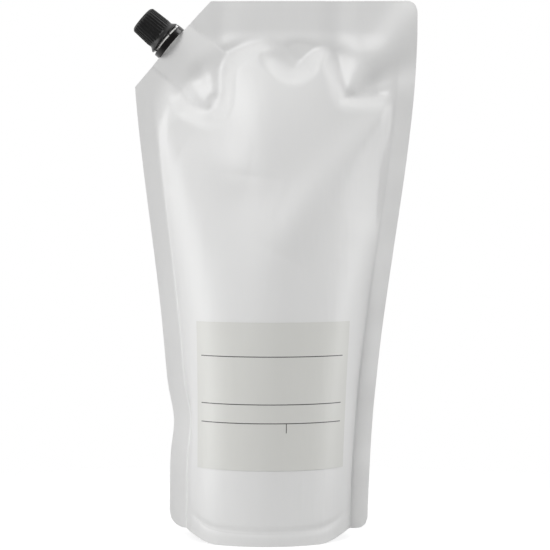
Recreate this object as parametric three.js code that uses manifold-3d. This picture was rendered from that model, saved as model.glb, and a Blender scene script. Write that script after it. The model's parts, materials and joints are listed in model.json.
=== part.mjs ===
// A one-litre refill pack for hand soap: a filled stand-up pouch of white film with a screw-capped
// spout welded into its cut-off upper corner, and a label on its front.
// Millimetres, +Z up. The pack stands on Z = 0, its front faces -Y, and the origin is the middle of
// its base.

import * as THREE from "three";
import { mergeVertices } from "three/addons/utils/BufferGeometryUtils.js";
import Module from "manifold-3d";

const wasm = await Module();
wasm.setup();

// The pouch's film, as it is cut and sealed before it is filled
const filmWidth = 161;
const packHeight = 304;
const sideSeal = 10;
const topSeal = 16;
const sealThickness = 0.8;
const gussetHalfDepth = 44;
const gussetFoldHeight = 44;
const skirtThickness = 1.3;
const bottomSeal = 8;
const bottomSealAtSides = 13;
const topCornerRadius = 6;
const leftFootRadius = 10;
const rightFootRadius = 6;
const footLift = 4.8;
const footFlatHalf = 30;
const footLiftedFrom = 60;
const cornerCutAcross = 43.6;
const cornerCutDown = 49.5;

// How the filled pouch stands
const fillTaper = 2.6;
const baseSquareness = 0.8;
const squareHeight = 110;
const baseShift = -4;
const gussetSagHeight = 3;
const gussetFlatShare = 0.45;

// The label on the front, measured along the film from the pouch's middle line
const labelLeft = 48.5;
const labelRight = 49.5;
const labelBottom = 42;
const labelTop = 123.7;
const labelThickness = 0.3;

// The welded end of the spout, inside the film of the cut corner
const weldLength = 32;
const weldThickness = 11;
const weldDepth = 13;
const bossFade = 30;

// The spout's neck. Heights along the spout are measured outwards from the film's cut edge.
const boreRadius = 4.8;
const flangeBottom = 0.3;
const flangeThickness = 0.9;
const flangeRadius = 8.9;
const collarRadius = 7;
const beadRadius = 8.5;
const beadBottom = 3.2;
const beadHeight = 1.8;
const collarTop = 5.2;
const neckRadius = 6;
const neckTop = 18.3;

// The screw thread of the neck and the cap
const pitch = 3;
const threadTurns = 2.25;
const threadBottom = 9.2;
const threadHeight = 0.8;
const threadRootWidth = 1.2;
const threadCrestWidth = 0.7;

// The tamper band that stays on the neck, and the bridges that join it to the cap until it is opened
const bandBottom = 0.35;
const bandTop = 4.3;
const bandRadius = 10.6;
const bandWall = 1.1;
const lipReach = 1.9;
const lipThickness = 0.7;
const bridgeCount = 5;
const bridgeWidth = 0.8;
const bridgeTurn = 17.5;

// The cap
const capBottom = 5.4;
const capTop = 21.8;
const capCrownThickness = 1.3;
const skirtRadius = 10.3;
const skirtRim = 0.6;
const skirtWall = 1.4;
const flareHeight = 3.1;
const gripRadiusBottom = 8.5;
const gripRadiusTop = 7.8;
const crownRounding = 1.4;
const ribCount = 30;
const ribHeight = 0.4;
const ribWidth = 0.8;
const discThickness = 1;

// The gap between pieces that touch, and the running gap of the thread
const seatGap = 0.3;

const turnSegments = 48;
const fillHeight = packHeight - topSeal;
const bellyHalfFilm = filmWidth / 2 - sideSeal;
const halfSeal = sealThickness / 2;

const { smoothstep, clamp, lerp, degToRad } = THREE.MathUtils;

// A three.js geometry as a solid that can be cut and joined
function solidOf(geometry) {
  const loose = geometry.index ? geometry.toNonIndexed() : geometry.clone();
  const bare = new THREE.BufferGeometry();
  bare.setAttribute("position", loose.getAttribute("position"));
  const merged = mergeVertices(bare, 1e-3);
  const corners = merged.index.array;
  const triVerts = [];
  for (let i = 0; i < corners.length; i += 3) {
    const [a, b, c] = corners.subarray(i, i + 3);
    if (a !== b && b !== c && c !== a) triVerts.push(a, b, c);
  }
  return new wasm.Manifold(
    new wasm.Mesh({
      numProp: 3,
      vertProperties: new Float32Array(merged.getAttribute("position").array),
      triVerts: new Uint32Array(triVerts),
    }),
  );
}

// A cut or joined solid as a three.js geometry
function geometryOf(solid) {
  const mesh = solid.getMesh();
  const geometry = new THREE.BufferGeometry();
  geometry.setAttribute("position", new THREE.BufferAttribute(mesh.vertProperties, 3));
  geometry.setIndex(new THREE.BufferAttribute(mesh.triVerts, 1));
  geometry.computeVertexNormals();
  return geometry;
}

// A profile of [radius, height] points turned about Z
function revolve(profile) {
  const points = profile.map(([radius, height]) => new THREE.Vector2(radius, height));
  return new THREE.LatheGeometry(points, turnSegments).rotateX(Math.PI / 2);
}

// The closed body between two grids of points that share their outline. The first grid is the one
// that faces -Y, with its rows going up and its columns going right. The underside can hold more
// points for each column, from the first grid's lowest row to the second's.
function bodyBetween(nearGrid, farGrid, underside = nearGrid[0].map(() => [])) {
  const rows = nearGrid.length;
  const columns = nearGrid[0].length;
  const positions = [...nearGrid, ...farGrid, ...underside].flat(2);
  const near = (row, column) => row * columns + column;
  const far = (row, column) => near(row, column) + rows * columns;
  const firstUnder = 2 * rows * columns;
  const chains = underside.map((points, column) => {
    const before = underside.slice(0, column).reduce((count, list) => count + list.length, 0);
    return [near(0, column), ...points.map((_, i) => firstUnder + before + i), far(0, column)];
  });
  const index = [];
  const quad = (a, b, c, d) => index.push(a, b, c, a, c, d);
  const top = rows - 1;
  const last = columns - 1;
  for (let row = 0; row < top; row++) {
    for (let column = 0; column < last; column++) {
      quad(near(row, column), near(row, column + 1), near(row + 1, column + 1), near(row + 1, column));
      quad(far(row, column), far(row + 1, column), far(row + 1, column + 1), far(row, column + 1));
    }
  }
  for (let row = 1; row < top; row++) {
    quad(near(row, 0), near(row + 1, 0), far(row + 1, 0), far(row, 0));
    quad(near(row, last), far(row, last), far(row + 1, last), near(row + 1, last));
  }
  for (let column = 0; column < last; column++) {
    quad(near(top, column), near(top, column + 1), far(top, column + 1), far(top, column));
    const here = chains[column];
    const next = chains[column + 1];
    for (let i = 0; i < here.length - 1; i++) quad(here[i], here[i + 1], next[i + 1], next[i]);
  }
  index.push(near(1, 0), far(1, 0), far(0, 0), near(1, last), far(0, last), far(1, last));
  for (let i = 0; i < chains[0].length - 1; i++) {
    index.push(near(1, 0), chains[0][i + 1], chains[0][i], near(1, last), chains[last][i], chains[last][i + 1]);
  }
  const geometry = new THREE.BufferGeometry();
  geometry.setAttribute("position", new THREE.Float32BufferAttribute(positions, 3));
  geometry.setIndex(index);
  return geometry;
}

// Evenly spaced values from start to end, both included
function spaced(start, end, steps) {
  return Array.from({ length: steps + 1 }, (_, i) => lerp(start, end, i / steps));
}

// Until the pack is put on its origin at the end, X = 0 is the middle of the pouch's top edge.

// How far the filled front stands out from the seals' plane on its middle line
function bellyRise(height) {
  return gussetHalfDepth * (1 - clamp(height / fillHeight, 0, 1) ** fillTaper);
}

// The film keeps its girth when the pouch fills: half the front is an arc of bellyHalfFilm length,
// and this finds the angle that it turns through to stand out by the given rise.
function arcAngle(rise) {
  let low = 1e-4;
  let high = 2.2;
  for (let step = 0; step < 40; step++) {
    const middle = (low + high) / 2;
    if ((1 - Math.cos(middle)) / middle < rise / bellyHalfFilm) low = middle;
    else high = middle;
  }
  return low;
}

// The arc of the front at one height: its angle, radius, middle and half chord
function sectionAt(height) {
  const angle = arcAngle(bellyRise(height));
  const radius = bellyHalfFilm / angle;
  const middle = baseShift * (1 - height / packHeight) ** 2;
  return { angle, radius, middle, halfChord: radius * Math.sin(angle) };
}

// The place on the smooth belly for a place on the film: across from its middle line, up from its
// foot. Near the foot the arc is filled out towards a square.
function bellyPoint(across, height) {
  const { angle, radius, middle, halfChord } = sectionAt(height);
  const inside = clamp(across, -bellyHalfFilm, bellyHalfFilm);
  const turn = inside / radius;
  const fin = across - inside;
  const x = Math.abs(inside) < bellyHalfFilm ? radius * Math.sin(turn) : Math.sign(inside) * halfChord;
  const peak = radius * (1 - Math.cos(angle));
  const share = Math.max(0, radius * (Math.cos(turn) - Math.cos(angle))) / Math.max(peak, 1e-6);
  const fullness = lerp(baseSquareness, 1, smoothstep(height, 0, squareHeight));
  return { x: middle + x + fin, rise: peak * share ** fullness, turn };
}

// The cut corner in the pack's frame: its two ends, its direction and the spout's axis across it
const cutTop = new THREE.Vector2(bellyPoint(cornerCutAcross - filmWidth / 2, packHeight).x, packHeight);
const cutFoot = packHeight - cornerCutDown;
const cutBottom = new THREE.Vector2(bellyPoint(-filmWidth / 2, cutFoot).x, cutFoot);
const cutDirection = cutTop.clone().sub(cutBottom).normalize();
const spoutAxis = new THREE.Vector2(-cutDirection.y, cutDirection.x);
const spoutSeat = cutTop.clone().add(cutBottom).multiplyScalar(0.5);
const spoutTilt = Math.atan2(spoutAxis.x, spoutAxis.y);

// Half the thickness of the weld at a distance along the cut from the spout's axis
function weldHalfThickness(along) {
  return Math.max(0, (weldThickness / 2) * (1 - (along / (weldLength / 2)) ** 2));
}

// How far the film stands out round the spout's welded end, and how open the pouch is near the cut
function bossAt(x, height) {
  const place = new THREE.Vector2(x, height).sub(spoutSeat);
  const along = place.dot(cutDirection);
  const inwards = -place.dot(spoutAxis);
  const wrap = weldHalfThickness(along / 1.12);
  const film = wrap > 0 ? seatGap + sealThickness : 0;
  const fade = 1 - smoothstep(inwards, weldDepth, weldDepth + bossFade);
  return { rise: (wrap + film * Math.min(1, wrap)) * fade, open: smoothstep(inwards, sideSeal / 2, sideSeal * 3) };
}

// The dents where the film tucks in above the soap: from and to places on the front, depth and width
const tucks = [
  { from: [-49, 272], to: [-36, 244], depth: 6, width: 6 },
  { from: [-62, 251], to: [-40, 241], depth: 4, width: 4 },
  { from: [11, 278], to: [11, 268], depth: 4.5, width: 7 },
  { from: [34, 274], to: [40, 251], depth: 5, width: 5 },
  { from: [74, 272], to: [43, 250], depth: 6, width: 5 },
  { from: [43, 249], to: [66, 251], depth: 4, width: 4 },
  { from: [64, 240], to: [42, 204], depth: 1.5, width: 8 },
];

// How deep the tucks press the front in at a place
function tuckDepth(x, height) {
  const place = new THREE.Vector3(x, height, 0);
  let depth = 0;
  for (const tuck of tucks) {
    const line = new THREE.Line3(new THREE.Vector3(...tuck.from, 0), new THREE.Vector3(...tuck.to, 0));
    const nearest = line.closestPointToPoint(place, true, new THREE.Vector3());
    depth = Math.max(depth, tuck.depth * Math.exp(-((place.distanceTo(nearest) / tuck.width) ** 2)));
  }
  return depth;
}

// The film's foot and top edges at a distance across, with the rounded corners and the cut corner
function edgeRounding(fromEdge, radius) {
  return fromEdge >= radius ? 0 : radius - Math.sqrt(radius ** 2 - (radius - fromEdge) ** 2);
}

function footEdge(across) {
  const lift = footLift * smoothstep(Math.abs(across), footFlatHalf, footLiftedFrom);
  return lift + edgeRounding(filmWidth / 2 - Math.abs(across), across < 0 ? leftFootRadius : rightFootRadius);
}

function topEdge(across) {
  const intoCut = cornerCutAcross - filmWidth / 2 - across;
  if (intoCut > 0) return packHeight - (intoCut * cornerCutDown) / cornerCutAcross;
  return packHeight - edgeRounding(filmWidth / 2 - across, topCornerRadius);
}

// The surface of the filled pouch. side is -1 on the front and 1 on the back.
function filmPoint(across, height, side) {
  const { x, rise } = bellyPoint(across, height);
  const boss = bossAt(x, height);
  const tuck = tuckDepth(x, height) * smoothstep(rise, 0, 6) * (side < 0 ? 1 : 0.6);
  const belly = Math.max(0, rise * boss.open - tuck);
  return [x, side * (halfSeal + Math.hypot(belly, boss.rise)), height];
}

// The underside of one column of film: the thickness of the standing skirt, and between its front and
// back the hollow under the folded-up bottom film
function undersideOf(across) {
  const share = Math.abs(across) / bellyHalfFilm;
  const foot = footEdge(across);
  const inner = (w, height) => {
    const { x, rise, turn } = bellyPoint(across, height);
    const depth = rise + halfSeal - skirtThickness * Math.max(Math.cos(turn), 0.4);
    return [x - skirtThickness * Math.sin(turn), w * depth, height];
  };
  const ceilingHeight = (w) => {
    const rise = smoothstep(share, gussetFlatShare, 1) * (gussetFoldHeight - gussetSagHeight);
    const seal = lerp(bottomSeal, bottomSealAtSides, share ** 2);
    return foot + lerp(gussetSagHeight, seal, w ** 4) + rise * (1 - Math.abs(w)) ** 0.8;
  };
  const deep = spaced(-1, 1, 10);
  if (share > 0.97) {
    const { x } = bellyPoint(across, foot);
    return spaced(-halfSeal / 3, halfSeal / 3, deep.length + 1).map((depth) => [x, depth, foot]);
  }
  return [inner(-1, foot), ...deep.map((w) => inner(w, ceilingHeight(w))), inner(1, foot)];
}

// A flat lens of the weld's outline, grown by a margin, standing along Z
function weldBody(margin, bottom, top) {
  const half = weldLength / 2 + margin;
  const thick = weldThickness / 2 + margin;
  const bulge = (half ** 2 + thick ** 2) / (2 * thick);
  const spread = Math.asin(half / bulge);
  const outline = new THREE.Shape();
  outline.absarc(0, thick - bulge, bulge, Math.PI / 2 - spread, Math.PI / 2 + spread, false);
  outline.absarc(0, bulge - thick, bulge, (3 * Math.PI) / 2 - spread, (3 * Math.PI) / 2 + spread, false);
  return new THREE.ExtrudeGeometry(outline, { depth: top - bottom, bevelEnabled: false, curveSegments: 16 }).translate(
    0,
    0,
    bottom,
  );
}

// Puts a body made along Z onto the spout's axis
function ontoSpout(geometry) {
  return geometry.rotateY(spoutTilt).translate(spoutSeat.x, 0, spoutSeat.y);
}

function pouch() {
  const belly = spaced(-bellyHalfFilm, bellyHalfFilm, 24);
  const fin = [0.3, 0.6, 0.87, 1].map((share) => bellyHalfFilm + share * sideSeal);
  const columns = [...fin.map((across) => -across).reverse(), ...belly, ...fin];
  const rows = [...spaced(0, 0.6, 14), ...spaced(0.6, 1, 22).slice(1)];
  const surface = (side) =>
    rows.map((row) => columns.map((across) => filmPoint(across, lerp(footEdge(across), topEdge(across), row), side)));
  const trim = ontoSpout(new THREE.BoxGeometry(filmWidth, filmWidth, filmWidth).translate(0, 0, filmWidth / 2));
  const socket = ontoSpout(weldBody(seatGap, -weldDepth - seatGap, 1));
  return solidOf(bodyBetween(surface(-1), surface(1), columns.map(undersideOf)))
    .subtract(solidOf(trim))
    .subtract(solidOf(socket));
}

function label() {
  const columns = spaced(-labelLeft, labelRight, 16);
  const rows = spaced(labelBottom, labelTop, 8);
  const surface = (offset) =>
    rows.map((height) =>
      columns.map((across) => {
        const [x, y] = filmPoint(across, height, -1);
        const { turn } = bellyPoint(across, height);
        return [x + offset * Math.sin(turn), y - offset * Math.cos(turn), height];
      }),
    );
  return solidOf(bodyBetween(surface(seatGap + labelThickness), surface(seatGap)));
}

// One ridge of thread wound about Z, from its root to its crest, fading out at both ends
function threadRidge(root, crest, bottom) {
  const stepsPerTurn = 24;
  const steps = Math.round(stepsPerTurn * threadTurns);
  const fadeSteps = stepsPerTurn / 5;
  const buried = root - Math.sign(crest - root) * 0.4;
  const positions = [];
  const index = [];
  for (let step = 0; step <= steps; step++) {
    const grown = clamp(Math.min(step, steps - step) / fadeSteps, 0.05, 1);
    const reach = lerp(root, crest, grown);
    const turn = (2 * Math.PI * step) / stepsPerTurn;
    const middle = bottom + (pitch * step) / stepsPerTurn;
    const corners = [
      [buried, middle - threadRootWidth / 2],
      [reach, middle - threadCrestWidth / 2],
      [reach, middle + threadCrestWidth / 2],
      [buried, middle + threadRootWidth / 2],
    ];
    for (const [radius, height] of corners) {
      positions.push(radius * Math.cos(turn), radius * Math.sin(turn), height);
    }
  }
  const quad = (a, b, c, d) => {
    if (crest > root) index.push(a, b, c, a, c, d);
    else index.push(a, c, b, a, d, c);
  };
  for (let step = 0; step < steps; step++) {
    for (let side = 0; side < 4; side++) {
      const here = step * 4 + side;
      const next = step * 4 + ((side + 1) % 4);
      quad(here, here + 4, next + 4, next);
    }
  }
  quad(0, 1, 2, 3);
  quad(steps * 4 + 3, steps * 4 + 2, steps * 4 + 1, steps * 4);
  const geometry = new THREE.BufferGeometry();
  geometry.setAttribute("position", new THREE.Float32BufferAttribute(positions, 3));
  geometry.setIndex(index);
  return geometry;
}

const threadCrest = neckRadius + threadHeight;
const capInnerRadius = threadCrest + seatGap;
const capThreadCrest = neckRadius + seatGap + 0.05;

function spout() {
  const flangeTop = flangeBottom + flangeThickness;
  const neck = revolve([
    [0, -weldDepth],
    [collarRadius - 2, -weldDepth],
    [collarRadius - 2, flangeBottom],
    [flangeRadius, flangeBottom],
    [flangeRadius, flangeTop],
    [collarRadius, flangeTop],
    [collarRadius, beadBottom],
    [beadRadius, beadBottom],
    [beadRadius, beadBottom + 0.4],
    [collarRadius, beadBottom + beadHeight],
    [collarRadius, collarTop],
    [neckRadius, collarTop + 1],
    [neckRadius, neckTop - 0.4],
    [neckRadius - 0.4, neckTop],
    [0, neckTop],
  ]);
  const bore = new THREE.CylinderGeometry(boreRadius, boreRadius, neckTop + weldDepth + 4, turnSegments)
    .rotateX(Math.PI / 2)
    .translate(0, 0, (neckTop - weldDepth) / 2);
  return solidOf(neck)
    .add(solidOf(weldBody(0, -weldDepth, 0)))
    .add(solidOf(threadRidge(neckRadius, threadCrest, threadBottom)))
    .subtract(solidOf(bore));
}

function tamperBand() {
  const inner = bandRadius - bandWall;
  const lipTop = beadBottom - seatGap - 0.1;
  const lipBottom = lipTop - lipThickness;
  let band = solidOf(
    revolve([
      [inner, bandBottom],
      [bandRadius - 0.2, bandBottom],
      [bandRadius, bandBottom + 0.2],
      [bandRadius, bandTop - 0.2],
      [bandRadius - 0.2, bandTop],
      [inner, bandTop],
      [inner, lipTop + 0.6],
      [inner - lipReach, lipTop],
      [inner - lipReach, lipBottom],
      [inner, lipBottom - 0.1],
      [inner, bandBottom],
    ]),
  );
  const bridgeTop = capBottom - seatGap;
  for (let bridge = 0; bridge < bridgeCount; bridge++) {
    const post = new THREE.BoxGeometry(bandWall * 0.5, bridgeWidth, bridgeTop - bandTop + 0.4)
      .translate(bandRadius - bandWall * 0.5, 0, (bridgeTop + bandTop - 0.4) / 2)
      .rotateZ(degToRad(bridgeTurn - 90) + (2 * Math.PI * bridge) / bridgeCount);
    band = band.add(solidOf(post));
  }
  return band;
}

function cap() {
  const flareTop = capBottom + skirtRim + flareHeight;
  const gripTop = capTop - crownRounding;
  const crownInside = capTop - capCrownThickness;
  const rounding = spaced(0, Math.PI / 2, 4).map((turn) => [
    gripRadiusTop - crownRounding * (1 - Math.cos(turn)),
    gripTop + crownRounding * Math.sin(turn),
  ]);
  let body = solidOf(
    revolve([
      [0, crownInside],
      [capInnerRadius, crownInside],
      [capInnerRadius, flareTop],
      [skirtRadius - skirtWall, capBottom + skirtRim],
      [skirtRadius - skirtWall, capBottom],
      [skirtRadius, capBottom],
      [skirtRadius, capBottom + skirtRim],
      [gripRadiusBottom, flareTop],
      ...rounding,
      [0, capTop],
    ]),
  );
  const ribSide = new THREE.Shape([
    new THREE.Vector2(gripRadiusBottom - 0.4, flareTop - 0.6),
    new THREE.Vector2(gripRadiusBottom + ribHeight, flareTop + 0.8),
    new THREE.Vector2(gripRadiusTop + ribHeight, gripTop - 0.6),
    new THREE.Vector2(gripRadiusTop - 0.4, gripTop + 0.2),
  ]);
  for (let rib = 0; rib < ribCount; rib++) {
    const ridge = new THREE.ExtrudeGeometry(ribSide, { depth: ribWidth, bevelEnabled: false })
      .translate(0, 0, -ribWidth / 2)
      .rotateX(Math.PI / 2)
      .rotateZ((2 * Math.PI * rib) / ribCount);
    body = body.add(solidOf(ridge));
  }
  return body.add(solidOf(threadRidge(capInnerRadius, capThreadCrest, threadBottom + pitch / 2)));
}

function sealingDisc() {
  const radius = capInnerRadius - seatGap - 0.1;
  const bottom = capTop - capCrownThickness - seatGap - discThickness;
  return solidOf(new THREE.CylinderGeometry(radius, radius, discThickness, turnSegments).rotateX(Math.PI / 2)).translate(
    0,
    0,
    bottom + discThickness / 2,
  );
}

const whiteFilm = new THREE.MeshStandardMaterial({ color: 0xe6e6e4, roughness: 0.45, metalness: 0 });
const labelStock = new THREE.MeshStandardMaterial({ color: 0xd0d0ca, roughness: 0.6, metalness: 0 });
const naturalPlastic = new THREE.MeshStandardMaterial({ color: 0xe9e8e2, roughness: 0.4, metalness: 0 });
const blackPlastic = new THREE.MeshStandardMaterial({ color: 0x1c1c1b, roughness: 0.4, metalness: 0 });
const foam = new THREE.MeshStandardMaterial({ color: 0xf1f0ea, roughness: 0.8, metalness: 0 });

function piece(name, solid, material) {
  const mesh = new THREE.Mesh(geometryOf(solid), material);
  mesh.name = name;
  return mesh;
}

const pack = new THREE.Group();
pack.add(piece("filled_pouch", pouch(), whiteFilm));
pack.add(piece("front_label", label(), labelStock));

const spoutGroup = new THREE.Group();
spoutGroup.position.set(spoutSeat.x, 0, spoutSeat.y);
spoutGroup.rotation.y = spoutTilt;
spoutGroup.add(piece("spout", spout(), naturalPlastic));
spoutGroup.add(piece("tamper_band", tamperBand(), blackPlastic));
spoutGroup.add(piece("sealing_disc", sealingDisc(), foam));
spoutGroup.add(piece("cap", cap(), blackPlastic));
pack.add(spoutGroup);

const whole = new THREE.Box3().setFromObject(pack, true);
const middle = whole.getCenter(new THREE.Vector3());
for (const part of pack.children) part.position.sub(new THREE.Vector3(middle.x, middle.y, whole.min.z));

export default pack;
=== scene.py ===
import json
from math import asin, atan2, cos, hypot, pi, radians, sin

import bmesh
import bpy
import numpy as np
from mathutils import Matrix, Vector


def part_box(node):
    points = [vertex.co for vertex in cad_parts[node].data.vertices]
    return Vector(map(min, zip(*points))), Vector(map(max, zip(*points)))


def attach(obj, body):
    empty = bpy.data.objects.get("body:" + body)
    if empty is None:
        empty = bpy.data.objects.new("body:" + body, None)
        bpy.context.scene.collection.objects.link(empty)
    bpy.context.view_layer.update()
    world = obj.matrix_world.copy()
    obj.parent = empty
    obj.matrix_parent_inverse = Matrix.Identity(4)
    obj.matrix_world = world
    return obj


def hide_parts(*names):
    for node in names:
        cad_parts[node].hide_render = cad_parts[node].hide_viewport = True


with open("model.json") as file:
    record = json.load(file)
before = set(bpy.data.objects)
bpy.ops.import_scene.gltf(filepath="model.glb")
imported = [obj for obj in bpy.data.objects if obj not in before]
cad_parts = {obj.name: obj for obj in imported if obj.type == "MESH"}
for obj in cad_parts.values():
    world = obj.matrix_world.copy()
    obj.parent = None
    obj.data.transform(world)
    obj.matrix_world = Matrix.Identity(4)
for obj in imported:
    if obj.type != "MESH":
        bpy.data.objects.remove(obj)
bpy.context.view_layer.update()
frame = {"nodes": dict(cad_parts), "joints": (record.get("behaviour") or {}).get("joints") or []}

# The pouch: one web of white laminated film, folded up between its own front and back as the gusset
# that it stands on. It is heat-sealed down both sides, along the top and along the foot, and the
# upper left corner is cut off for the spout. All sizes here are in millimetres.
FILM_WIDTH = 161.0
PACK_HEIGHT = 304.0
SIDE_SEAL = 10.0
TOP_SEAL = 16.0
FILM_PAIR = 0.5
STAND_OUT = 44.0
FILL_TAPER = 2.6
BASE_SHIFT = -4.0
CUT_WIDTH = 44.3
CUT_HEIGHT = 48.6
TOP_CORNER = 6.0
LEFT_FOOT_CORNER = 10.0
RIGHT_FOOT_CORNER = 6.0
FOOT_LIFT = 4.8
SEAL_HEIGHT = 8.0
SEAL_HEIGHT_AT_SIDES = 13.0
GUSSET_FOLD = 41.0
GUSSET_SAG = 3.0
WELD_LENGTH = 32.0
WELD_THICKNESS = 11.0
WELD_DEPTH = 13.0
# How much longer the film's bulge over the spout's foot is than the foot, and how far it stands off
WELD_STRETCH = 1.04
WELD_STAND_OFF = 0.3
# The dent in the left edge where the gusset's fold ends: height above the floor, depth and spread
DENT_HEIGHT = 67.0
DENT_DEPTH = 2.8
DENT_SPREAD = 15.0
# The pressed line above the foot seal
SEAL_LINE_DEPTH = 0.7
SEAL_LINE_WIDTH = 1.6
# The back has the front's folds too, but weaker and moved a little, to the left and down
BACK_FOLDS = 0.7
BACK_SHIFT = 3.0
BACK_DROP = 2.0
# Webs that are nearer than this to each other along their rims are sealed there
SEALED_GAP = 1.6
RIM_INSET = 0.15
WEB_COLUMNS = 168
WEB_ROWS = 250
GUSSET_ROWS = 24
MERGE_DISTANCE = 0.01
# Edges that turn by more than this, in radians, are shaded sharp
SHARP_TURN = 1.0
FILM_WHITE = (0.815, 0.815, 0.81)

HALF_WIDTH = FILM_WIDTH / 2
BELLY_HALF = HALF_WIDTH - SIDE_SEAL
FILL_HEIGHT = PACK_HEIGHT - TOP_SEAL

screw = next(joint for joint in frame["joints"] if joint["name"] == "cap_turn")
seat = Vector(screw["pos_m"]) * 1000
axis = Vector(screw["axis"])
spout_tilt = atan2(axis.x, axis.z)
pouch_low, pouch_high = (np.array(corner) * 1000 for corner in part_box("filled_pouch"))
film_middle = np.array([pouch_high[0] - HALF_WIDTH, (pouch_low[1] + pouch_high[1]) / 2, 0.0])


def smoothstep(value, low, high):
    """A smooth rise from 0 at low to 1 at high, or a fall where low is the greater of the two."""
    share = np.clip((value - low) / (high - low), 0, 1)
    return share * share * (3 - 2 * share)


def lerp(a, b, share):
    return a + (b - a) * share


def to_scene(bm, name, material):
    """Turns a piece that was modelled in millimetres into an object in metres."""
    bmesh.ops.scale(bm, vec=(0.001, 0.001, 0.001), verts=bm.verts)
    mesh = bpy.data.meshes.new(name)
    bm.to_mesh(mesh)
    bm.free()
    mesh.polygons.foreach_set("use_smooth", [True] * len(mesh.polygons))
    mesh.materials.append(material)
    piece = bpy.data.objects.new(name, mesh)
    bpy.context.scene.collection.objects.link(piece)
    return piece


def new_material(name, color, roughness):
    """A plain material, with its node tree and its shader for what is added to it."""
    material = bpy.data.materials.new(name)
    material.use_nodes = True
    shader = material.node_tree.nodes["Principled BSDF"]
    shader.inputs["Base Color"].default_value = (*color, 1)
    shader.inputs["Roughness"].default_value = roughness
    return material, material.node_tree, shader


def add_node(tree, kind, **settings):
    """A new node, with its sockets set by name and its own properties by lower-case name."""
    node = tree.nodes.new("ShaderNode" + kind)
    for name, value in settings.items():
        if name.islower():
            setattr(node, name, value)
        else:
            node.inputs[name.replace("_", " ")].default_value = value
    return node


def wire(tree, *joins):
    """Connects nodes. Each join is a node, its output, the next node and its input."""
    for source, output, target, entry in joins:
        tree.links.new(source.outputs[output], target.inputs[entry])


def belly(across, height):
    """The smooth filled front: x from the film's middle, how far it stands out, and its turn.

    At each height the film between the seals is an arc that keeps its length, so that it gets
    narrower where it stands out more. The arc's half angle is looked up from how far that is."""
    angles = np.linspace(1e-4, 2.2, 3000)
    rise = STAND_OUT * (1 - np.clip(height / FILL_HEIGHT, 0, 1) ** FILL_TAPER)
    angle = np.interp(rise / BELLY_HALF, (1 - np.cos(angles)) / angles, angles)
    radius = BELLY_HALF / angle
    inside = np.clip(across, -BELLY_HALF, BELLY_HALF)
    turn = inside / radius
    x = radius * np.sin(turn) + across - inside + BASE_SHIFT * (1 - height / PACK_HEIGHT) ** 2
    peak = radius * (1 - np.cos(angle))
    share = np.clip(radius * (np.cos(turn) - np.cos(angle)), 0, None) / np.maximum(peak, 1e-6)
    fullness = lerp(np.where(across < 0, 0.9, 1.08), 1.0, smoothstep(height, 0, 110))
    return x, peak * share**fullness, turn


def smooth_line(points, steps=6):
    """A smooth curve through the points."""
    points = np.array(points, float)
    padded = np.vstack([2 * points[0] - points[1], points, 2 * points[-1] - points[-2]])
    curve = []
    for a, b, c, d in zip(padded, padded[1:], padded[2:], padded[3:]):
        for t in np.linspace(0, 1, steps, endpoint=False):
            curve.append(0.5 * (2 * b + (c - a) * t + (2 * a - 5 * b + 4 * c - d) * t**2))
            curve[-1] = curve[-1] + 0.5 * (3 * b - a - 3 * c + d) * t**3
    return np.vstack([curve, points[-1:]])


def from_line(x, z, points):
    """Each place's distance from a line, how far along it the nearest place is, and its side."""
    lengths = np.hypot(*(points[1:] - points[:-1]).T)
    starts = np.concatenate([[0], np.cumsum(lengths)])
    nearest = np.full(x.shape, 1e9)
    along = np.zeros(x.shape)
    side = np.zeros(x.shape)
    for (ax, az), (bx, bz), length, start in zip(points, points[1:], lengths, starts):
        ux, uz = (bx - ax) / length, (bz - az) / length
        t = np.clip((x - ax) * ux + (z - az) * uz, 0, length)
        distance = np.hypot(x - ax - t * ux, z - az - t * uz)
        closer = distance < nearest
        nearest = np.where(closer, distance, nearest)
        along = np.where(closer, (start + t) / starts[-1], along)
        side = np.where(closer, np.sign(ux * (z - az) - uz * (x - ax)), side)
    return nearest, along, side


def fold(x, z, points, height, width):
    """A soft ridge along the points, or a valley where its height is negative. Height and width are
    each given at the start, the middle and the end."""
    distance, along, _ = from_line(x, z, smooth_line(points))
    weights = ((1 - along) * (1 - 2 * along), 4 * along * (1 - along), along * (2 * along - 1))
    ridge = sum(value * weight for value, weight in zip(height, weights))
    spread = sum(value * weight for value, weight in zip(width, weights))
    return ridge * np.exp(-((distance / spread) ** 2))


# The line where the soap ends and the film of the front tucks in towards the seals
SOAP_EDGE = smooth_line([
    (-74, 228), (-68.2, 244), (-63.6, 253.9), (-59.1, 252.3), (-51.7, 245.4), (-44.3, 240.9),
    (-36.6, 239.8), (-32.0, 246.5), (-30.6, 259.5), (-28.5, 269.3), (-20.5, 277.2), (-12.6, 281.6),
    (-6.3, 281.6), (-1.8, 278.0), (-0.7, 271.5), (3.9, 265.8), (10.1, 263.7), (15.2, 266.9),
    (19.2, 272.2), (24.5, 275.6), (30.0, 274.6), (34.0, 265.2), (37.0, 253.7), (40.5, 248.6),
    (47.4, 248.6), (55.5, 249.6), (64.6, 252.2), (70.3, 252.2), (74, 240),
])

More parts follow.
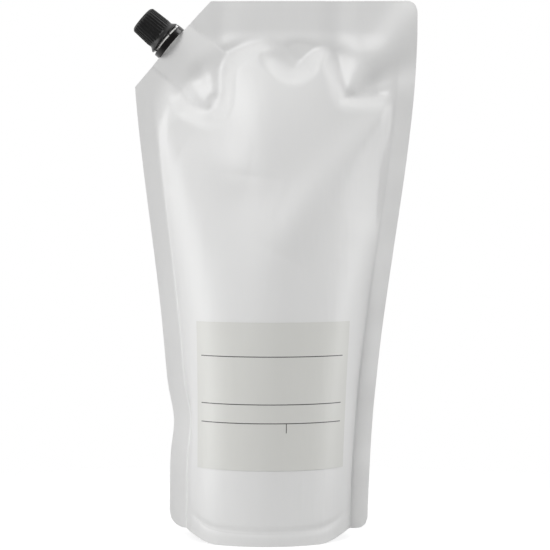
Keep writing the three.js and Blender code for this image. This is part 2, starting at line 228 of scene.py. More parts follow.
# The front's ridges and creases: the places that each runs through, its heights and its widths
FRONT_FOLDS = [
    ([(40.2, 251.6), (46.4, 270.9), (54.4, 297.0)], [0.4, 1.5, 0.8], [4, 9, 12]),
    ([(39.4, 249.9), (35.0, 262.4), (32.8, 277.4)], [-1.4, -1.3, -0.2], [3, 5, 7]),
    ([(44, 250.5), (56, 257.5), (73, 264)], [-1.2, -1.1, -0.4], [3.5, 6, 8]),
    (
        [(39.6, 248.8), (47.6, 248.6), (55.5, 249.9), (64.6, 252.7), (71.2, 253.3)],
        [-1.4, -1.2, -0.8],
        [2.6, 3, 2.4],
    ),
    ([(67, 247), (44, 219), (18, 183), (4, 160)], [1.6, 3.2, 0.4], [4, 12, 13]),
    ([(69, 232), (57, 198), (42, 156)], [-0.3, -2.2, -0.5], [7, 12, 13]),
    ([(-12, 266), (-13, 238), (-17, 205)], [0.2, 1.7, 0.3], [12, 19, 18]),
    ([(-54, 218), (-34, 208), (-15, 205)], [0.4, 1.6, 0.5], [9, 15, 11]),
    ([(-44.3, 291.3), (-40.4, 269.8), (-36.2, 253.0)], [0.2, 1.3, 1.1], [8, 6, 4]),
    ([(-35.8, 277.7), (-33.6, 262.4), (-36.0, 242.1)], [-0.4, -0.8, -0.9], [6, 5, 4]),
    ([(-55.7, 274.3), (-47.2, 267.5), (-39.2, 257.4)], [-0.6, -1.2, -0.6], [5, 4.5, 4]),
    ([(-59.7, 265.2), (-48.9, 255.0), (-38.7, 245.8)], [0.4, 1.1, 0.9], [6, 5, 4]),
    ([(16, 284.2), (13.5, 274), (12.3, 267.2)], [-0.2, -1.0, -0.8], [7, 6, 5]),
    ([(2.5, 284.2), (1.8, 270.9)], [0.3, 0.7, 0.3], [3.5, 3.5, 3]),
    ([(-62, 240), (-57, 214), (-50, 188), (-40, 160)], [0.3, 1.0, 0.1], [7, 8, 10]),
    ([(-68, 199), (-55, 200)], [-0.5, -0.5, 0], [3.5, 3.5, 5]),
    ([(38, 172), (62, 171)], [0.1, 0.8, 0.5], [9, 9, 9]),
]


def front_shape(x, z, rise):
    """How far the front film stands out. It swells a little where there is soap behind it, lies
    slack above the soap's edge, and has its folds on top of both."""
    distance, _, side = from_line(x, z, SOAP_EDGE)
    beyond = distance * side
    full = rise + 1.4 * smoothstep(z, 190, 255)
    slack = 0.45 + 0.4 * smoothstep(-x, 24, 36) + 0.4 * smoothstep(x, 22, 38)
    empty = slack * rise * smoothstep(rise, -1, 10) * smoothstep(FILL_HEIGHT - z, 0, 34)
    shape = lerp(full, empty, smoothstep(beyond, -9, 4))
    for points, height, width in FRONT_FOLDS:
        shape = shape + fold(x, z, points, height, width)
    return shape


def weld_lift(x, height):
    """How far the welded foot of the spout lifts the film, and how open the pouch is near it."""
    along = (x - seat.x) * cos(spout_tilt) - (height - seat.z) * sin(spout_tilt)
    inwards = -((x - seat.x) * axis.x + (height - seat.z) * axis.z)
    share = along / WELD_STRETCH / (WELD_LENGTH / 2)
    wrap = np.clip(WELD_THICKNESS / 2 * (1 - share**2), 0, None)
    fade = 1 - smoothstep(inwards, WELD_DEPTH, WELD_DEPTH + 30)
    return (wrap + WELD_STAND_OFF * np.minimum(1, wrap)) * fade, smoothstep(inwards, 5, 30)


def rounded(from_edge, radius):
    """How much a rounded corner takes off, at each distance from the edge."""
    return radius - np.sqrt(np.clip(radius**2 - np.clip(radius - from_edge, 0, None) ** 2, 0, None))


def foot_edge(across):
    """The height of the film's lower edge, which lifts off the floor towards both sides."""
    corner = np.where(across < 0, LEFT_FOOT_CORNER, RIGHT_FOOT_CORNER)
    return FOOT_LIFT * smoothstep(np.abs(across), 30, 60) + rounded(HALF_WIDTH - np.abs(across), corner)


def top_edge(across):
    """The height of the film's upper edge, with the corner that is cut off for the spout."""
    into_cut = np.clip(CUT_WIDTH - HALF_WIDTH - across, 0, None)
    return PACK_HEIGHT - rounded(HALF_WIDTH - across, TOP_CORNER) - into_cut * CUT_HEIGHT / CUT_WIDTH


def seal_top(across):
    """The height of the arc where the gusset's seal ends."""
    share = np.clip(np.abs(across) / BELLY_HALF, 0, 1)
    return foot_edge(across) + lerp(SEAL_HEIGHT, SEAL_HEIGHT_AT_SIDES, share**2)


# The folds that run on into the flat film above the soap, negative towards the front
HEADER_FOLDS = [
    ([(43, 251), (62, 275), (82, 294)], [-0.3, -2.0, -2.4], [4, 10, 14]),
    ([(46, 250), (62, 262), (80, 270)], [0.3, 1.2, 0.8], [4, 7, 9]),
    ([(-50, 308), (-43.8, 290), (-36.4, 254)], [-1.6, -1.3, -0.4], [10, 8, 4]),
    ([(-30, 308), (-31, 285), (-33, 262)], [1.4, 1.2, 0.2], [9, 7, 4]),
    ([(36, 308), (35, 290), (36, 268)], [1.0, 1.2, 0.4], [8, 7, 5]),
]


def seal_wave(across, height, stiff):
    """How far the flat sealed edges wander from the seals' plane."""
    fin = smoothstep(np.abs(across), 62, HALF_WIDTH)
    left_ripple = 0.5 * np.sin(height / 11 + 1.0)
    right_ripple = 0.9 * np.sin(height / 8.5) + 0.3 * np.sin(height / 3.7)
    ripple = np.where(across < 0, left_ripple, right_ripple)
    low = 1 - smoothstep(height, 60, 200)
    swept = np.where(across < 0, 1.8 * (1 - smoothstep(height, 150, 260)), -0.6)
    header = sum(fold(across, height, points, push, width) for points, push, width in HEADER_FOLDS)
    return (fin * (ripple * lerp(0.35, 1.0, low) + swept) + header) * (1 - stiff)


def film(across, height, side):
    """The places of the front (side -1) or back (side 1) film, in millimetres.

    The belly and the weld push each film out from the seals' plane. The flat stretches wander with
    that plane, and the folds fade out towards them."""
    x, rise, _ = belly(across, height)
    dent = DENT_DEPTH * np.exp(-(((height - DENT_HEIGHT) / DENT_SPREAD) ** 2))
    x = x + film_middle[0] + dent * smoothstep(-across, 54, 70)
    lift, opened = weld_lift(x, height)
    free = smoothstep(rise * opened, 0, 4)
    if side < 0:
        shape = front_shape(x, height, rise)
    else:
        shape = lerp(rise, front_shape(x + BACK_SHIFT, height + BACK_DROP, rise), BACK_FOLDS)
    corner = smoothstep(np.abs(across), 57, 66) * (1 - smoothstep(height, 16, 30))
    seal_line = SEAL_LINE_DEPTH * np.exp(-(((height - seal_top(across)) / SEAL_LINE_WIDTH) ** 2))
    crease = seal_line * smoothstep(BELLY_HALF - np.abs(across), 0, 20)
    top_fade = smoothstep(FILL_HEIGHT - height, -2, 14)
    body = np.clip(lerp(rise, shape, free) * opened * top_fade * (1 - 0.5 * corner) - crease, 0, None)
    stiff = np.clip(lift, 0, 1)
    middle = film_middle[1] + seal_wave(across, height, stiff) * (1 - smoothstep(body, 0, 12))
    return np.stack([x, middle + side * (FILM_PAIR / 2 + np.hypot(body, lift)), height], axis=-1)


def underside(across, w):
    """The folded-up bottom film. w runs from -1 at the foot of the front web to 1 at the back's.

    From each foot it rises as a seal, then sags between the two, and it folds up towards the sides.
    Its outermost columns close up onto one web or the other."""
    foot = foot_edge(across)
    share = np.clip(np.abs(across) / BELLY_HALF, 0, 1)
    ending = 1 - smoothstep(share, 0.95, 1)
    fold_up = smoothstep(share, 0.45, 1) * (1 - smoothstep(share, 0.93, 1)) * GUSSET_FOLD
    inner = np.clip(np.abs(w) / 0.9, 0, 1)
    wall = smoothstep(np.abs(w), 1, 0.9)
    seal = (seal_top(across) - foot) * ending
    ceiling = wall * (lerp(GUSSET_SAG * ending, seal, inner**4) + fold_up * (1 - inner) ** 0.8)
    front_foot = film(across, foot, -1)
    back_foot = film(across, foot, 1)
    _, _, turn = belly(across, foot)
    depth = (back_foot[..., 1] - front_foot[..., 1]) / 2 - FILM_PAIR * wall * np.maximum(np.cos(turn), 0.4)
    x = front_foot[..., 0] - FILM_PAIR * wall * np.sin(turn) * ending
    middle = (back_foot[..., 1] + front_foot[..., 1]) / 2
    y = middle + inner * np.sign(w) * np.maximum(depth, 0.05)
    place = np.stack([x, y, foot + ceiling], axis=-1)
    last = np.abs(across) > HALF_WIDTH - 0.001
    place = np.where(((w >= 1) | (last & (w >= 0)))[..., None], back_foot, place)
    return np.where(((w <= -1) | (last & (w < 0)))[..., None], front_foot, place)


def film_grid(columns, rows, place):
    """A grid of film whose vertices are moved where place says, for shares of -1 to 1 each way."""
    bm = bmesh.new()
    bmesh.ops.create_grid(bm, x_segments=columns, y_segments=rows, size=1)
    flat = np.array([vertex.co[:] for vertex in bm.verts])
    for vertex, point in zip(bm.verts, place(flat[:, 0], flat[:, 1])):
        vertex.co = point
    return bm


def web_place(side):
    """Where the vertices of the front or back web go, with rows closer together towards the top."""

    def place(u, v):
        across = HALF_WIDTH * u
        up = (v + 1) / 2
        up = up * (1.25 - 0.25 * up)
        return film(across, lerp(foot_edge(across), top_edge(across), up), side)

    return place


def new_verts(result):
    """The vertices among what a bmesh operator has made."""
    return [item for item in result["geom"] if isinstance(item, bmesh.types.BMVert)]


def extrude_to(bm, edges, moved):
    """Extrudes edges and puts each new vertex where moved says for the one that it came from."""
    sources = {vertex for edge in edges for vertex in edge.verts}
    for vertex in new_verts(bmesh.ops.extrude_edge_only(bm, edges=edges)):
        neighbours = (edge.other_vert(vertex) for edge in vertex.link_edges)
        vertex.co = moved(next(neighbour for neighbour in neighbours if neighbour in sources))


def rim(bm):
    """The edges with a face on one side only."""
    return [edge for edge in bm.edges if len(edge.link_faces) == 1]


# The front web's sealed edges are carried over to the back web, all but the mouth round the weld.
# Its first row of vertices is the foot, where the gusset joins both webs.
front = film_grid(WEB_COLUMNS, WEB_ROWS, web_place(-1))
back = film_grid(WEB_COLUMNS, WEB_ROWS, web_place(1))
gusset = film_grid(WEB_COLUMNS, GUSSET_ROWS, lambda u, w: underside(HALF_WIDTH * u, w))
front.verts.index_update()
partner = {vertex: other.co.copy() for vertex, other in zip(front.verts, back.verts)}
sealed = [
    edge
    for edge in rim(front)
    if max(vertex.index for vertex in edge.verts) > WEB_COLUMNS
    and max((partner[vertex] - vertex.co).length for vertex in edge.verts) < SEALED_GAP
]
extrude_to(front, sealed, lambda vertex: partner[vertex])
pouch_bm = bmesh.new()
for part in (front, back, gusset):
    sheet = bpy.data.meshes.new("web")
    part.to_mesh(sheet)
    part.free()
    pouch_bm.from_mesh(sheet)
    bpy.data.meshes.remove(sheet)
bmesh.ops.remove_doubles(pouch_bm, verts=pouch_bm.verts, dist=MERGE_DISTANCE)


def pinched(vertex):
    """A place a little nearer to the pouch's middle plane, to give the open rim its thickness."""
    return vertex.co.lerp(Vector((vertex.co.x, film_middle[1], vertex.co.z)), RIM_INSET)


# The mouth round the weld gets a rim, and the film's cut edges stay sharp in the shading
mouth = [edge for edge in rim(pouch_bm) if edge.verts[0].co.z > PACK_HEIGHT - CUT_HEIGHT - TOP_SEAL]
extrude_to(pouch_bm, mouth, pinched)
bmesh.ops.recalc_face_normals(pouch_bm, faces=pouch_bm.faces)
for edge in pouch_bm.edges:
    edge.smooth = len(edge.link_faces) != 2 or edge.calc_face_angle() < SHARP_TURN


def unevenness_group():
    """Slight unevenness of film and moulded plastic: a height for a Bump node and a change of gloss."""
    group = bpy.data.node_groups.new("surface unevenness", "ShaderNodeTree")
    group.interface.new_socket("Vector", in_out="INPUT", socket_type="NodeSocketVector")
    for name, start in (("Size", 60.0), ("Gloss", 0.4), ("Change", 0.05)):
        socket = group.interface.new_socket(name, in_out="INPUT", socket_type="NodeSocketFloat")
        socket.default_value = start
    for name in ("Height", "Roughness"):
        group.interface.new_socket(name, in_out="OUTPUT", socket_type="NodeSocketFloat")
    source = group.nodes.new("NodeGroupInput")
    result = group.nodes.new("NodeGroupOutput")
    noise = add_node(group, "TexNoise", Detail=3.0, Roughness=0.55)
    change = add_node(group, "Math", operation="MULTIPLY_ADD")
    centred = add_node(group, "Math", operation="SUBTRACT")
    centred.inputs[1].default_value = 0.5
    wire(
        group,
        (source, "Vector", noise, "Vector"),
        (source, "Size", noise, "Scale"),
        (noise, "Fac", result, "Height"),
        (noise, "Fac", centred, 0),
        (centred, "Value", change, 0),
        (source, "Change", change, 1),
        (source, "Gloss", change, 2),
        (change, "Value", result, "Roughness"),
    )
    return group


UNEVENNESS = unevenness_group()


def make_uneven(tree, shader, stretch, size, depth, change=0.05):
    """Adds the unevenness to a material. stretch scales the pattern along each axis, size is how
    fine it is to the metre, depth its height in metres, and change how much the gloss varies."""
    coords = add_node(tree, "TexCoord")
    mapping = add_node(tree, "Mapping", Scale=stretch)
    uneven = tree.nodes.new("ShaderNodeGroup")
    uneven.node_tree = UNEVENNESS
    uneven.inputs["Size"].default_value = size
    uneven.inputs["Gloss"].default_value = shader.inputs["Roughness"].default_value
    uneven.inputs["Change"].default_value = change
    bump = add_node(tree, "Bump", Strength=1.0, Distance=depth)
    wire(
        tree,
        (coords, "Object", mapping, "Vector"),
        (mapping, "Vector", uneven, "Vector"),
        (uneven, "Height", bump, "Height"),
        (uneven, "Roughness", shader, "Roughness"),
        (bump, "Normal", shader, "Normal"),
    )


def new_film(name, color):
    """Laminated film: satin, with a soft coat and long shallow unevenness."""
    material, tree, shader = new_material(name, color, 0.4)
    shader.inputs["Specular IOR Level"].default_value = 0.6
    shader.inputs["Coat Weight"].default_value = 0.4
    shader.inputs["Coat Roughness"].default_value = 0.42
    make_uneven(tree, shader, (1, 1, 0.25), 45, 0.0006)
    return material, tree, shader


film_material, _, _ = new_film("white laminated film", FILM_WHITE)
pouch = to_scene(pouch_bm, "pouch_film", film_material)
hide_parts("filled_pouch")
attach(pouch, "pack")

# The label: a thin grey-beige film stuck to the lower front. Three fine rules cross it and a short
# divider hangs from the lowest, all printed in dark grey. Its wording is left out.
LABEL_LEFT = -48.5
LABEL_RIGHT = 49.5
LABEL_BOTTOM = 42.0
LABEL_TOP = 123.7
LABEL_LIFT = 0.2
LABEL_GREY = (0.72, 0.72, 0.69)
PRINT_GREY = (0.05, 0.05, 0.05)
# The print's places and thicknesses are shares of the label's width and height
RULE_ENDS = (0.04, 0.95)
RULE_HEIGHTS = (0.768, 0.446, 0.319)
RULE_THICKNESS = 0.5 / (LABEL_TOP - LABEL_BOTTOM)
DIVIDER_PLACE = 0.584
DIVIDER_THICKNESS = 0.45 / (LABEL_RIGHT - LABEL_LEFT)
DIVIDER_FOOT = 0.255
LABEL_COLUMNS = 60
LABEL_ROWS = 50


def label_place(u, v):
    """Where the vertices of the label go: on the front film, lifted off it along its slope."""
    across = lerp(LABEL_LEFT, LABEL_RIGHT, (u + 1) / 2)
    height = lerp(LABEL_BOTTOM, LABEL_TOP, (v + 1) / 2)
    _, _, turn = belly(across, height)
    out = np.stack([np.sin(turn), -np.cos(turn), 0 * turn], axis=-1)
    return film(across, height, -1) + LABEL_LIFT * out


def bar_group():
    """A printed bar: 1 inside a box of the UV map, 0 outside it."""
    group = bpy.data.node_groups.new("printed bar", "ShaderNodeTree")
    for name in ("U", "V", "Left", "Right", "Bottom", "Top"):
        group.interface.new_socket(name, in_out="INPUT", socket_type="NodeSocketFloat")
    group.interface.new_socket("Ink", in_out="OUTPUT", socket_type="NodeSocketFloat")
    source = group.nodes.new("NodeGroupInput")
    result = group.nodes.new("NodeGroupOutput")
    tests = []
    for value, low, high in (("U", "Left", "Right"), ("V", "Bottom", "Top")):
        for limit, sense in ((low, "GREATER_THAN"), (high, "LESS_THAN")):
            test = add_node(group, "Math", operation=sense)
            wire(group, (source, value, test, 0), (source, limit, test, 1))
            tests.append(test)
    while len(tests) > 1:
        both = add_node(group, "Math", operation="MULTIPLY")
        wire(group, (tests.pop(0), "Value", both, 0), (tests.pop(0), "Value", both, 1))
        tests.append(both)
    wire(group, (tests[0], "Value", result, "Ink"))
    return group


def print_bars(tree, shader, bars, paper, ink):
    """Prints bars, each given as left, right, bottom and top shares of the UV map."""
    coords = add_node(tree, "TexCoord")
    split = add_node(tree, "SeparateXYZ")
    wire(tree, (coords, "UV", split, "Vector"))
    one_bar = bar_group()
    total = None
    for edges in bars:
        bar = tree.nodes.new("ShaderNodeGroup")
        bar.node_tree = one_bar
        for name, value in zip(("Left", "Right", "Bottom", "Top"), edges):
            bar.inputs[name].default_value = value
        wire(tree, (split, "X", bar, "U"), (split, "Y", bar, "V"))
        if total is None:
            total = (bar, "Ink")
            continue
        either = add_node(tree, "Math", operation="MAXIMUM")
        wire(tree, (*total, either, 0), (bar, "Ink", either, 1))
        total = (either, "Value")
    mix = add_node(tree, "Mix", data_type="RGBA", A=(*paper, 1), B=(*ink, 1))
    wire(tree, (*total, mix, "Factor"), (mix, "Result", shader, "Base Color"))


label_bm = film_grid(LABEL_COLUMNS, LABEL_ROWS, label_place)
uv = label_bm.loops.layers.uv.new("UVMap")
label_bm.verts.index_update()
for face in label_bm.faces:
    for loop in face.loops:
        row, column = divmod(loop.vert.index, LABEL_COLUMNS + 1)
        loop[uv].uv = (column / LABEL_COLUMNS, row / LABEL_ROWS)
label_material, tree, shader = new_film("label film", LABEL_GREY)
half_rule = RULE_THICKNESS / 2
bars = [(*RULE_ENDS, height - half_rule, height + half_rule) for height in RULE_HEIGHTS]
half_divider = DIVIDER_THICKNESS / 2
bars.append((DIVIDER_PLACE - half_divider, DIVIDER_PLACE + half_divider, DIVIDER_FOOT, RULE_HEIGHTS[-1]))
print_bars(tree, shader, bars, LABEL_GREY, PRINT_GREY)
label = to_scene(label_bm, "front_label_sheet", label_material)
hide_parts("front_label")
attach(label, "pack")

# The spout: natural polyethylene, moulded in one piece and welded between the two webs by its
# boat-shaped foot. It has a flange on the film's edge, a bead for the band and a threaded neck.
# The closure's sizes are heights and radii about its axis, from the film's edge.
BORE_RADIUS = 4.8
FLANGE_BOTTOM = 0.3
FLANGE_TOP = 1.2
FLANGE_RADIUS = 8.9
FLANGE_ROUNDING = 0.25
COLLAR_RADIUS = 7.0
COLLAR_FILLET = 0.3
BEAD_BOTTOM = 3.2
BEAD_TOP = 5.25
BEAD_RADIUS = 9.3
BEAD_ROUNDING = 0.2
COLLAR_TOP = 5.2
NECK_RADIUS = 6.0
NECK_TOP = 18.3
NECK_ROUNDING = 0.4
MOUTH_ROUNDING = 0.2
PITCH = 3.0
THREAD_TURNS = 2.25
THREAD_BOTTOM = 9.2
THREAD_HEIGHT = 0.8
THREAD_ROOT_WIDTH = 1.2
THREAD_CREST_WIDTH = 0.7
# How deep the thread's root is sunk in its wall, and the share of a turn over which an end fades out
THREAD_SUNK = 0.3
THREAD_FADE = 0.2
FOOT_SUNK = 0.1
ARC_STEPS = 24
NATURAL_PLASTIC = (0.86, 0.855, 0.83)

on_spout = Matrix.Translation(seat) @ Matrix.Rotation(spout_tilt, 4, "Y")


def turned(bm, profile, steps=96):
    """Turns a profile of radius and height about Z and closes it where it comes round."""
    verts = [bm.verts.new((radius, 0, height)) for radius, height in profile]
    edges = [bm.edges.new(pair) for pair in zip(verts, verts[1:])]
    circle = {"cent": (0, 0, 0), "axis": (0, 0, 1), "angle": 2 * pi}
    bmesh.ops.spin(bm, geom=verts + edges, steps=steps, use_merge=True, **circle)
    bmesh.ops.remove_doubles(bm, verts=bm.verts, dist=0.001)


def corner_arc(radius, height, size, start, end, steps=4):
    """Points of a rounded corner about a centre, between two turns in degrees."""
    turns = [radians(lerp(start, end, i / steps)) for i in range(steps + 1)]
    return [(radius + size * cos(turn), height + size * sin(turn)) for turn in turns]


def thread(bm, root, crest, bottom, steps_per_turn=48):
    """Winds one ridge of thread about Z and fades it out at both ends. Its crest may be further out
    than its root, as on the neck, or further in, as in the cap."""
    buried = root - THREAD_SUNK if crest > root else root + THREAD_SUNK
    low, high = THREAD_CREST_WIDTH / 2, THREAD_ROOT_WIDTH / 2
    section = [(buried, -high), (crest, -low), (crest, low), (buried, high)]
    verts = [bm.verts.new((radius, 0, bottom + rise)) for radius, rise in section]
    edges = [bm.edges.new((verts[i], verts[(i + 1) % 4])) for i in range(4)]
    steps = int(steps_per_turn * THREAD_TURNS)
    others = set(bm.verts) - set(verts)
    helix = {"cent": (0, 0, 0), "axis": (0, 0, 1), "angle": 2 * pi * THREAD_TURNS}
    bmesh.ops.spin(bm, geom=verts + edges, steps=steps, dvec=(0, 0, PITCH / steps_per_turn), **helix)
    for vertex in set(bm.verts) - others:
        radius = hypot(vertex.co.x, vertex.co.y)
        gone = (vertex.co.z - bottom) / PITCH
        grown = min(1, max(0.0, min(gone, THREAD_TURNS - gone) / THREAD_FADE))
        wanted = lerp(buried, radius, grown)
        vertex.co.x *= wanted / radius
        vertex.co.y *= wanted / radius


spout_bm = bmesh.new()
turned(spout_bm, [
    (BORE_RADIUS, -WELD_DEPTH),
    (COLLAR_RADIUS - 2, -WELD_DEPTH),
    (COLLAR_RADIUS - 2, FLANGE_BOTTOM),
    *corner_arc(FLANGE_RADIUS - FLANGE_ROUNDING, FLANGE_BOTTOM + FLANGE_ROUNDING, FLANGE_ROUNDING, -90, 0),
    *corner_arc(FLANGE_RADIUS - FLANGE_ROUNDING, FLANGE_TOP - FLANGE_ROUNDING, FLANGE_ROUNDING, 0, 90),
    (COLLAR_RADIUS + COLLAR_FILLET, FLANGE_TOP),
    (COLLAR_RADIUS, FLANGE_TOP + COLLAR_FILLET),
    (COLLAR_RADIUS, BEAD_BOTTOM),
    *corner_arc(BEAD_RADIUS - BEAD_ROUNDING, BEAD_BOTTOM + BEAD_ROUNDING, BEAD_ROUNDING, -90, 0),
    (BEAD_RADIUS, BEAD_TOP - 0.5),
    (BEAD_RADIUS - 0.5, BEAD_TOP - 0.15),
    (COLLAR_RADIUS, BEAD_TOP),
    (NECK_RADIUS, COLLAR_TOP + 1),
    *corner_arc(NECK_RADIUS - NECK_ROUNDING, NECK_TOP - NECK_ROUNDING, NECK_ROUNDING, 0, 90),
    *corner_arc(BORE_RADIUS + MOUTH_ROUNDING, NECK_TOP - MOUTH_ROUNDING, MOUTH_ROUNDING, 90, 180),
    (BORE_RADIUS, -WELD_DEPTH),
])
thread(spout_bm, NECK_RADIUS, NECK_RADIUS + THREAD_HEIGHT, THREAD_BOTTOM)

# The boat-shaped foot: two flat arcs that meet in its tips, drawn downwards
weld_half = WELD_LENGTH / 2
weld_thick = WELD_THICKNESS / 2
weld_round = (weld_half**2 + weld_thick**2) / (2 * weld_thick)
weld_spread = asin(weld_half / weld_round)
outline = []
for sign in (1, -1):
    for i in range(ARC_STEPS):
        turn = lerp(-weld_spread, weld_spread, i / ARC_STEPS) * sign
        outline.append((weld_round * sin(turn), sign * (weld_round * cos(turn) - weld_round + weld_thick)))
foot_face = spout_bm.faces.new([spout_bm.verts.new((x, y, -FOOT_SUNK)) for x, y in outline])
sunk = new_verts(bmesh.ops.extrude_face_region(spout_bm, geom=[foot_face]))
bmesh.ops.translate(spout_bm, vec=(0, 0, FOOT_SUNK - WELD_DEPTH), verts=sunk)
bmesh.ops.recalc_face_normals(spout_bm, faces=spout_bm.faces)
bmesh.ops.transform(spout_bm, matrix=on_spout, verts=spout_bm.verts)
spout_material, tree, shader = new_material("natural polyethylene", NATURAL_PLASTIC, 0.35)
make_uneven(tree, shader, (1, 1, 1), 900, 0.00002)
spout = to_scene(spout_bm, "pouring_spout", spout_material)
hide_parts("spout")
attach(spout, "pack")

# The tamper-evident band: glossy black plastic moulded with the cap and held on the neck by a lip
# under the bead. Five thin bridges reach up towards the cap, broken since it was first opened.
BAND_BOTTOM = 0.2
BAND_TOP = 3.95
BAND_RADIUS = 10.85
BAND_WALL = 1.1
BAND_ROUNDING = 0.3
LIP_REACH = 1.9
BRIDGE_COUNT = 5
BRIDGE_WIDTH = 0.8
BRIDGE_THICKNESS = 0.55
BRIDGE_SUNK = 0.4
BRIDGE_TURN = 17.5
BRIDGE_TOP = 5.1
GLOSS_BLACK = (0.006, 0.005, 0.005)

band_inner = BAND_RADIUS - BAND_WALL
lip_top = BEAD_BOTTOM - 0.4
band_bm = bmesh.new()
turned(band_bm, [
    (band_inner, BAND_BOTTOM),
    *corner_arc(BAND_RADIUS - BAND_ROUNDING, BAND_BOTTOM + BAND_ROUNDING, BAND_ROUNDING, -90, 0),
    *corner_arc(BAND_RADIUS - BAND_ROUNDING, BAND_TOP - BAND_ROUNDING, BAND_ROUNDING, 0, 90),
    (band_inner, BAND_TOP),
    (band_inner, lip_top + 0.6),
    (band_inner - LIP_REACH, lip_top),
    (band_inner - LIP_REACH, lip_top - 0.7),
    (band_inner, lip_top - 0.8),
    (band_inner, BAND_BOTTOM),
], steps=120)
bridge_foot = BAND_TOP - BRIDGE_SUNK
bridge_middle = Matrix.Translation((BAND_RADIUS - BRIDGE_THICKNESS, 0, (BRIDGE_TOP + bridge_foot) / 2))
bridge_size = Matrix.Diagonal((BRIDGE_THICKNESS, BRIDGE_WIDTH, BRIDGE_TOP - bridge_foot, 1))
for bridge in range(BRIDGE_COUNT):
    turn = Matrix.Rotation(radians(BRIDGE_TURN - 90) + 2 * pi * bridge / BRIDGE_COUNT, 4, "Z")
    bmesh.ops.create_cube(band_bm, size=1, matrix=turn @ bridge_middle @ bridge_size)
bmesh.ops.recalc_face_normals(band_bm, faces=band_bm.faces)
bmesh.ops.transform(band_bm, matrix=on_spout, verts=band_bm.verts)
band_material, tree, shader = new_material("glossy black plastic", GLOSS_BLACK, 0.14)
make_uneven(tree, shader, (1, 1, 1), 300, 0.00001, 0.04)
band = to_scene(band_bm, "tamper_ring", band_material)
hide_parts("tamper_band")
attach(band, "pack")

# The sealing disc: white foamed polyethylene, punched from sheet and pressed into the cap's crown.
# It seals the neck's mouth and goes up and down with the cap.
FOAM_WHITE = (0.86, 0.86, 0.84)

disc = frame["nodes"]["sealing_disc"]
disc_material, tree, shader = new_material("white foam", FOAM_WHITE, 0.7)
make_uneven(tree, shader, (1, 1, 1), 1500, 0.00005)
disc.data.materials.clear()
disc.data.materials.append(disc_material)

# The screw cap: satin black polypropylene, moulded with thirty fine grip ribs, a rounded crown and a
# skirt that flares out to the band. Its own thread runs inside it.
CAP_BOTTOM = 5.5
CAP_TOP = 22.7
CROWN_THICKNESS = 2.2
SKIRT_RADIUS = 10.45
SKIRT_RIM = 0.6
SKIRT_WALL = 1.4
SKIRT_ROUNDING = 0.25
FLARE_HEIGHT = 3.1
GRIP_RADIUS_BOTTOM = 8.6
GRIP_RADIUS_TOP = 8.0
CROWN_ROUNDING = 1.4
RIB_COUNT = 30
RIB_HEIGHT = 0.42
RIB_STEPS = 10
# The stretch over which the ribs run out, and the gaps between the cap's thread and the neck's
RIB_FADE = 0.9
CREST_GAP = 0.3
ROOT_GAP = 0.35
WALL_MARGIN = 0.05
SATIN_BLACK = (0.012, 0.012, 0.012)

skirt_top = CAP_BOTTOM + SKIRT_RIM
flare_top = skirt_top + FLARE_HEIGHT
grip_top = CAP_TOP - CROWN_ROUNDING
cap_inner = NECK_RADIUS + THREAD_HEIGHT + CREST_GAP
crown_inside = CAP_TOP - CROWN_THICKNESS


def flare(share):
    """A point of the skirt's flare, from its rim up to the ribs."""
    inwards = sin(share * pi / 2) ** 1.2
    return lerp(SKIRT_RADIUS, GRIP_RADIUS_BOTTOM, inwards), lerp(skirt_top, flare_top, share)


def grip(share):
    """A point of the wall between the ribs, which tapers up to the crown."""
    return lerp(GRIP_RADIUS_BOTTOM, GRIP_RADIUS_TOP, share), lerp(flare_top, grip_top, share)


cap_bm = bmesh.new()
turned(cap_bm, [
    (0, crown_inside),
    (cap_inner, crown_inside),
    (cap_inner, flare_top),
    (SKIRT_RADIUS - SKIRT_WALL, skirt_top),
    (SKIRT_RADIUS - SKIRT_WALL, CAP_BOTTOM),
    *corner_arc(SKIRT_RADIUS - SKIRT_ROUNDING, CAP_BOTTOM + SKIRT_ROUNDING, SKIRT_ROUNDING, -90, 0),
    (SKIRT_RADIUS, skirt_top),
    *[flare(i / 5) for i in range(1, 6)],
    *[grip(i / 8) for i in range(1, 8)],
    *corner_arc(GRIP_RADIUS_TOP - CROWN_ROUNDING, grip_top, CROWN_ROUNDING, 0, 90, 6),
    (3, CAP_TOP),
    (0, CAP_TOP),
], steps=RIB_COUNT * RIB_STEPS)
for vertex in cap_bm.verts:
    radius = hypot(vertex.co.x, vertex.co.y)
    if radius < cap_inner + WALL_MARGIN or vertex.co.z < flare_top - RIB_FADE:
        continue
    wave = cos(RIB_COUNT * atan2(vertex.co.y, vertex.co.x))
    rib = smoothstep(wave, -0.35, 0.75)
    begun = smoothstep(vertex.co.z, flare_top - RIB_FADE, flare_top + RIB_FADE)
    ended = smoothstep(vertex.co.z, grip_top - 0.2, CAP_TOP - 0.3)
    grown = 1 + RIB_HEIGHT * float(rib * begun * (1 - ended)) / radius
    vertex.co.x *= grown
    vertex.co.y *= grown
thread(cap_bm, cap_inner, NECK_RADIUS + ROOT_GAP, THREAD_BOTTOM + PITCH / 2)
bmesh.ops.recalc_face_normals(cap_bm, faces=cap_bm.faces)
bmesh.ops.transform(cap_bm, matrix=on_spout, verts=cap_bm.verts)
cap_material, tree, shader = new_material("satin black plastic", SATIN_BLACK, 0.3)
shader.inputs["Specular IOR Level"].default_value = 0.3
make_uneven(tree, shader, (1, 1, 1), 700, 0.00003)
cap = to_scene(cap_bm, "screw_cap", cap_material)
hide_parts("cap")
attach(cap, "closure")

# The studio: a pale floor that the white background swallows a little way out, soft light from both
# sides, in front and above, and the camera straight in front, a little above the middle.
FLOOR_HALF = 600
# The distances in metres over which the floor fades out, and its own light for the camera
FLOOR_FADE_START = 0.16
FLOOR_FADE_END = 0.4
FLOOR_GLOW = 0.86
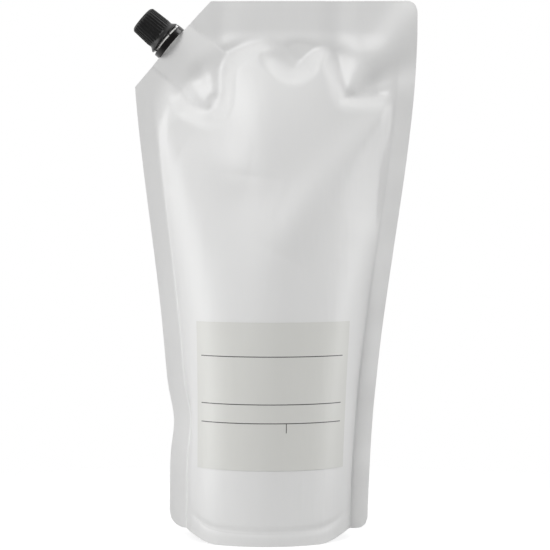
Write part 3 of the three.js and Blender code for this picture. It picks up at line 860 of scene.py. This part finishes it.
# The floor's grey in the light that it throws back, and before the camera
FLOOR_GREY = 0.6
FLOOR_GREY_SEEN = 0.25
SURROUND_LIGHT = 0.4
CAMERA_PLACE = Vector((-0.00065, -1.4, 0.190))
CAMERA_TARGET = Vector((-0.00065, 0, 0.1489))
FOCAL_LENGTH = 161.5

floor_bm = bmesh.new()
bmesh.ops.create_grid(floor_bm, x_segments=1, y_segments=1, size=FLOOR_HALF)
floor_material, tree, shader = new_material("pale floor", (0.92, 0.92, 0.92), 0.8)
shader.inputs["Specular IOR Level"].default_value = 0.0
shader.inputs["Emission Color"].default_value = (1, 1, 1, 1)
coords = add_node(tree, "TexCoord")
reach = add_node(tree, "VectorMath", operation="LENGTH")
fade = add_node(tree, "MapRange", interpolation_type="SMOOTHSTEP", To_Min=1.0, To_Max=0.0)
fade.inputs["From Min"].default_value = FLOOR_FADE_START
fade.inputs["From Max"].default_value = FLOOR_FADE_END
glow = add_node(tree, "Math", operation="MULTIPLY")
glow.inputs[1].default_value = FLOOR_GLOW
path = add_node(tree, "LightPath")
tone = add_node(tree, "MapRange", To_Min=FLOOR_GREY, To_Max=FLOOR_GREY_SEEN)
wire(
    tree,
    (path, "Is Camera Ray", tone, "Value"),
    (tone, "Result", shader, "Base Color"),
    (coords, "Object", reach, 0),
    (reach, "Value", fade, "Value"),
    (fade, "Result", shader, "Alpha"),
    (path, "Is Camera Ray", glow, 0),
    (glow, "Value", shader, "Emission Strength"),
)
floor = to_scene(floor_bm, "floor", floor_material)

# The room: white before the camera, white behind the pouch and darker in front of it in what the
# pieces reflect, and a dim even light for all the rest
scene = bpy.context.scene
world = bpy.data.worlds.new("studio")
scene.world = world
world.use_nodes = True
tree = world.node_tree
surround = tree.nodes["Background"]
surround.inputs["Color"].default_value = (1, 1, 1, 1)
surround.inputs["Strength"].default_value = SURROUND_LIGHT
white = add_node(tree, "Background", Color=(1, 1, 1, 1), Strength=1.0)
path = add_node(tree, "LightPath")
seen = add_node(tree, "Math", operation="MAXIMUM")
shown = add_node(tree, "Math", operation="MAXIMUM")
mix = add_node(tree, "MixShader")
direction = add_node(tree, "TexCoord")
split = add_node(tree, "SeparateXYZ")
room = add_node(tree, "MapRange", interpolation_type="SMOOTHSTEP", From_Min=-0.7, From_Max=0.3)
room.inputs["To Min"].default_value = 0.15
behind = add_node(tree, "Math", operation="MAXIMUM")
wire(
    tree,
    (direction, "Generated", split, "Vector"),
    (split, "Y", room, "Value"),
    (room, "Result", behind, 0),
    (path, "Is Camera Ray", behind, 1),
    (behind, "Value", white, "Strength"),
    (path, "Is Camera Ray", seen, 0),
    (path, "Is Glossy Ray", seen, 1),
    (seen, "Value", shown, 0),
    (path, "Is Transmission Ray", shown, 1),
    (shown, "Value", mix, "Fac"),
    (surround, "Background", mix, 1),
    (white, "Background", mix, 2),
    (mix, "Shader", tree.nodes["World Output"], "Surface"),
)


def aimed(place, target):
    """The turn that points a light or the camera from its place at its target."""
    return (Vector(target) - Vector(place)).to_track_quat("-Z", "Y").to_euler()


def area_light(name, place, target, size, power):
    """A rectangular soft light. Places and sizes are in metres, the power in watts."""
    data = bpy.data.lights.new(name, "AREA")
    data.shape = "RECTANGLE"
    data.size, data.size_y = size
    data.energy = power
    light = bpy.data.objects.new(name, data)
    scene.collection.objects.link(light)
    light.location = place
    light.rotation_euler = aimed(place, target)


area_light("left softbox", (-1.02, -0.05, 0.22), (0, 0, 0.12), (0.45, 0.8), 2.7)
area_light("right strip", (1.0, -0.02, 0.22), (0, 0, 0.1), (0.3, 0.8), 2.1)
area_light("front fill", (-0.65, -1.6, 1.45), (0, 0, 0.15), (1.0, 1.0), 19)
area_light("overhead", (0, 0.1, 1.5), (0, 0, 0), (1.2, 1.2), 2)
area_light("kicker", (0.75, 0.15, 1.05), (-0.06, 0, 0.28), (0.6, 0.6), 3.0)

camera_data = bpy.data.cameras.new("camera")
camera_data.sensor_width = 36
camera_data.lens = FOCAL_LENGTH
camera_data.clip_end = 50
camera = bpy.data.objects.new("camera", camera_data)
scene.collection.objects.link(camera)
camera.location = CAMERA_PLACE
camera.rotation_euler = aimed(CAMERA_PLACE, CAMERA_TARGET)
scene.camera = camera
scene.view_settings.view_transform = "Standard"
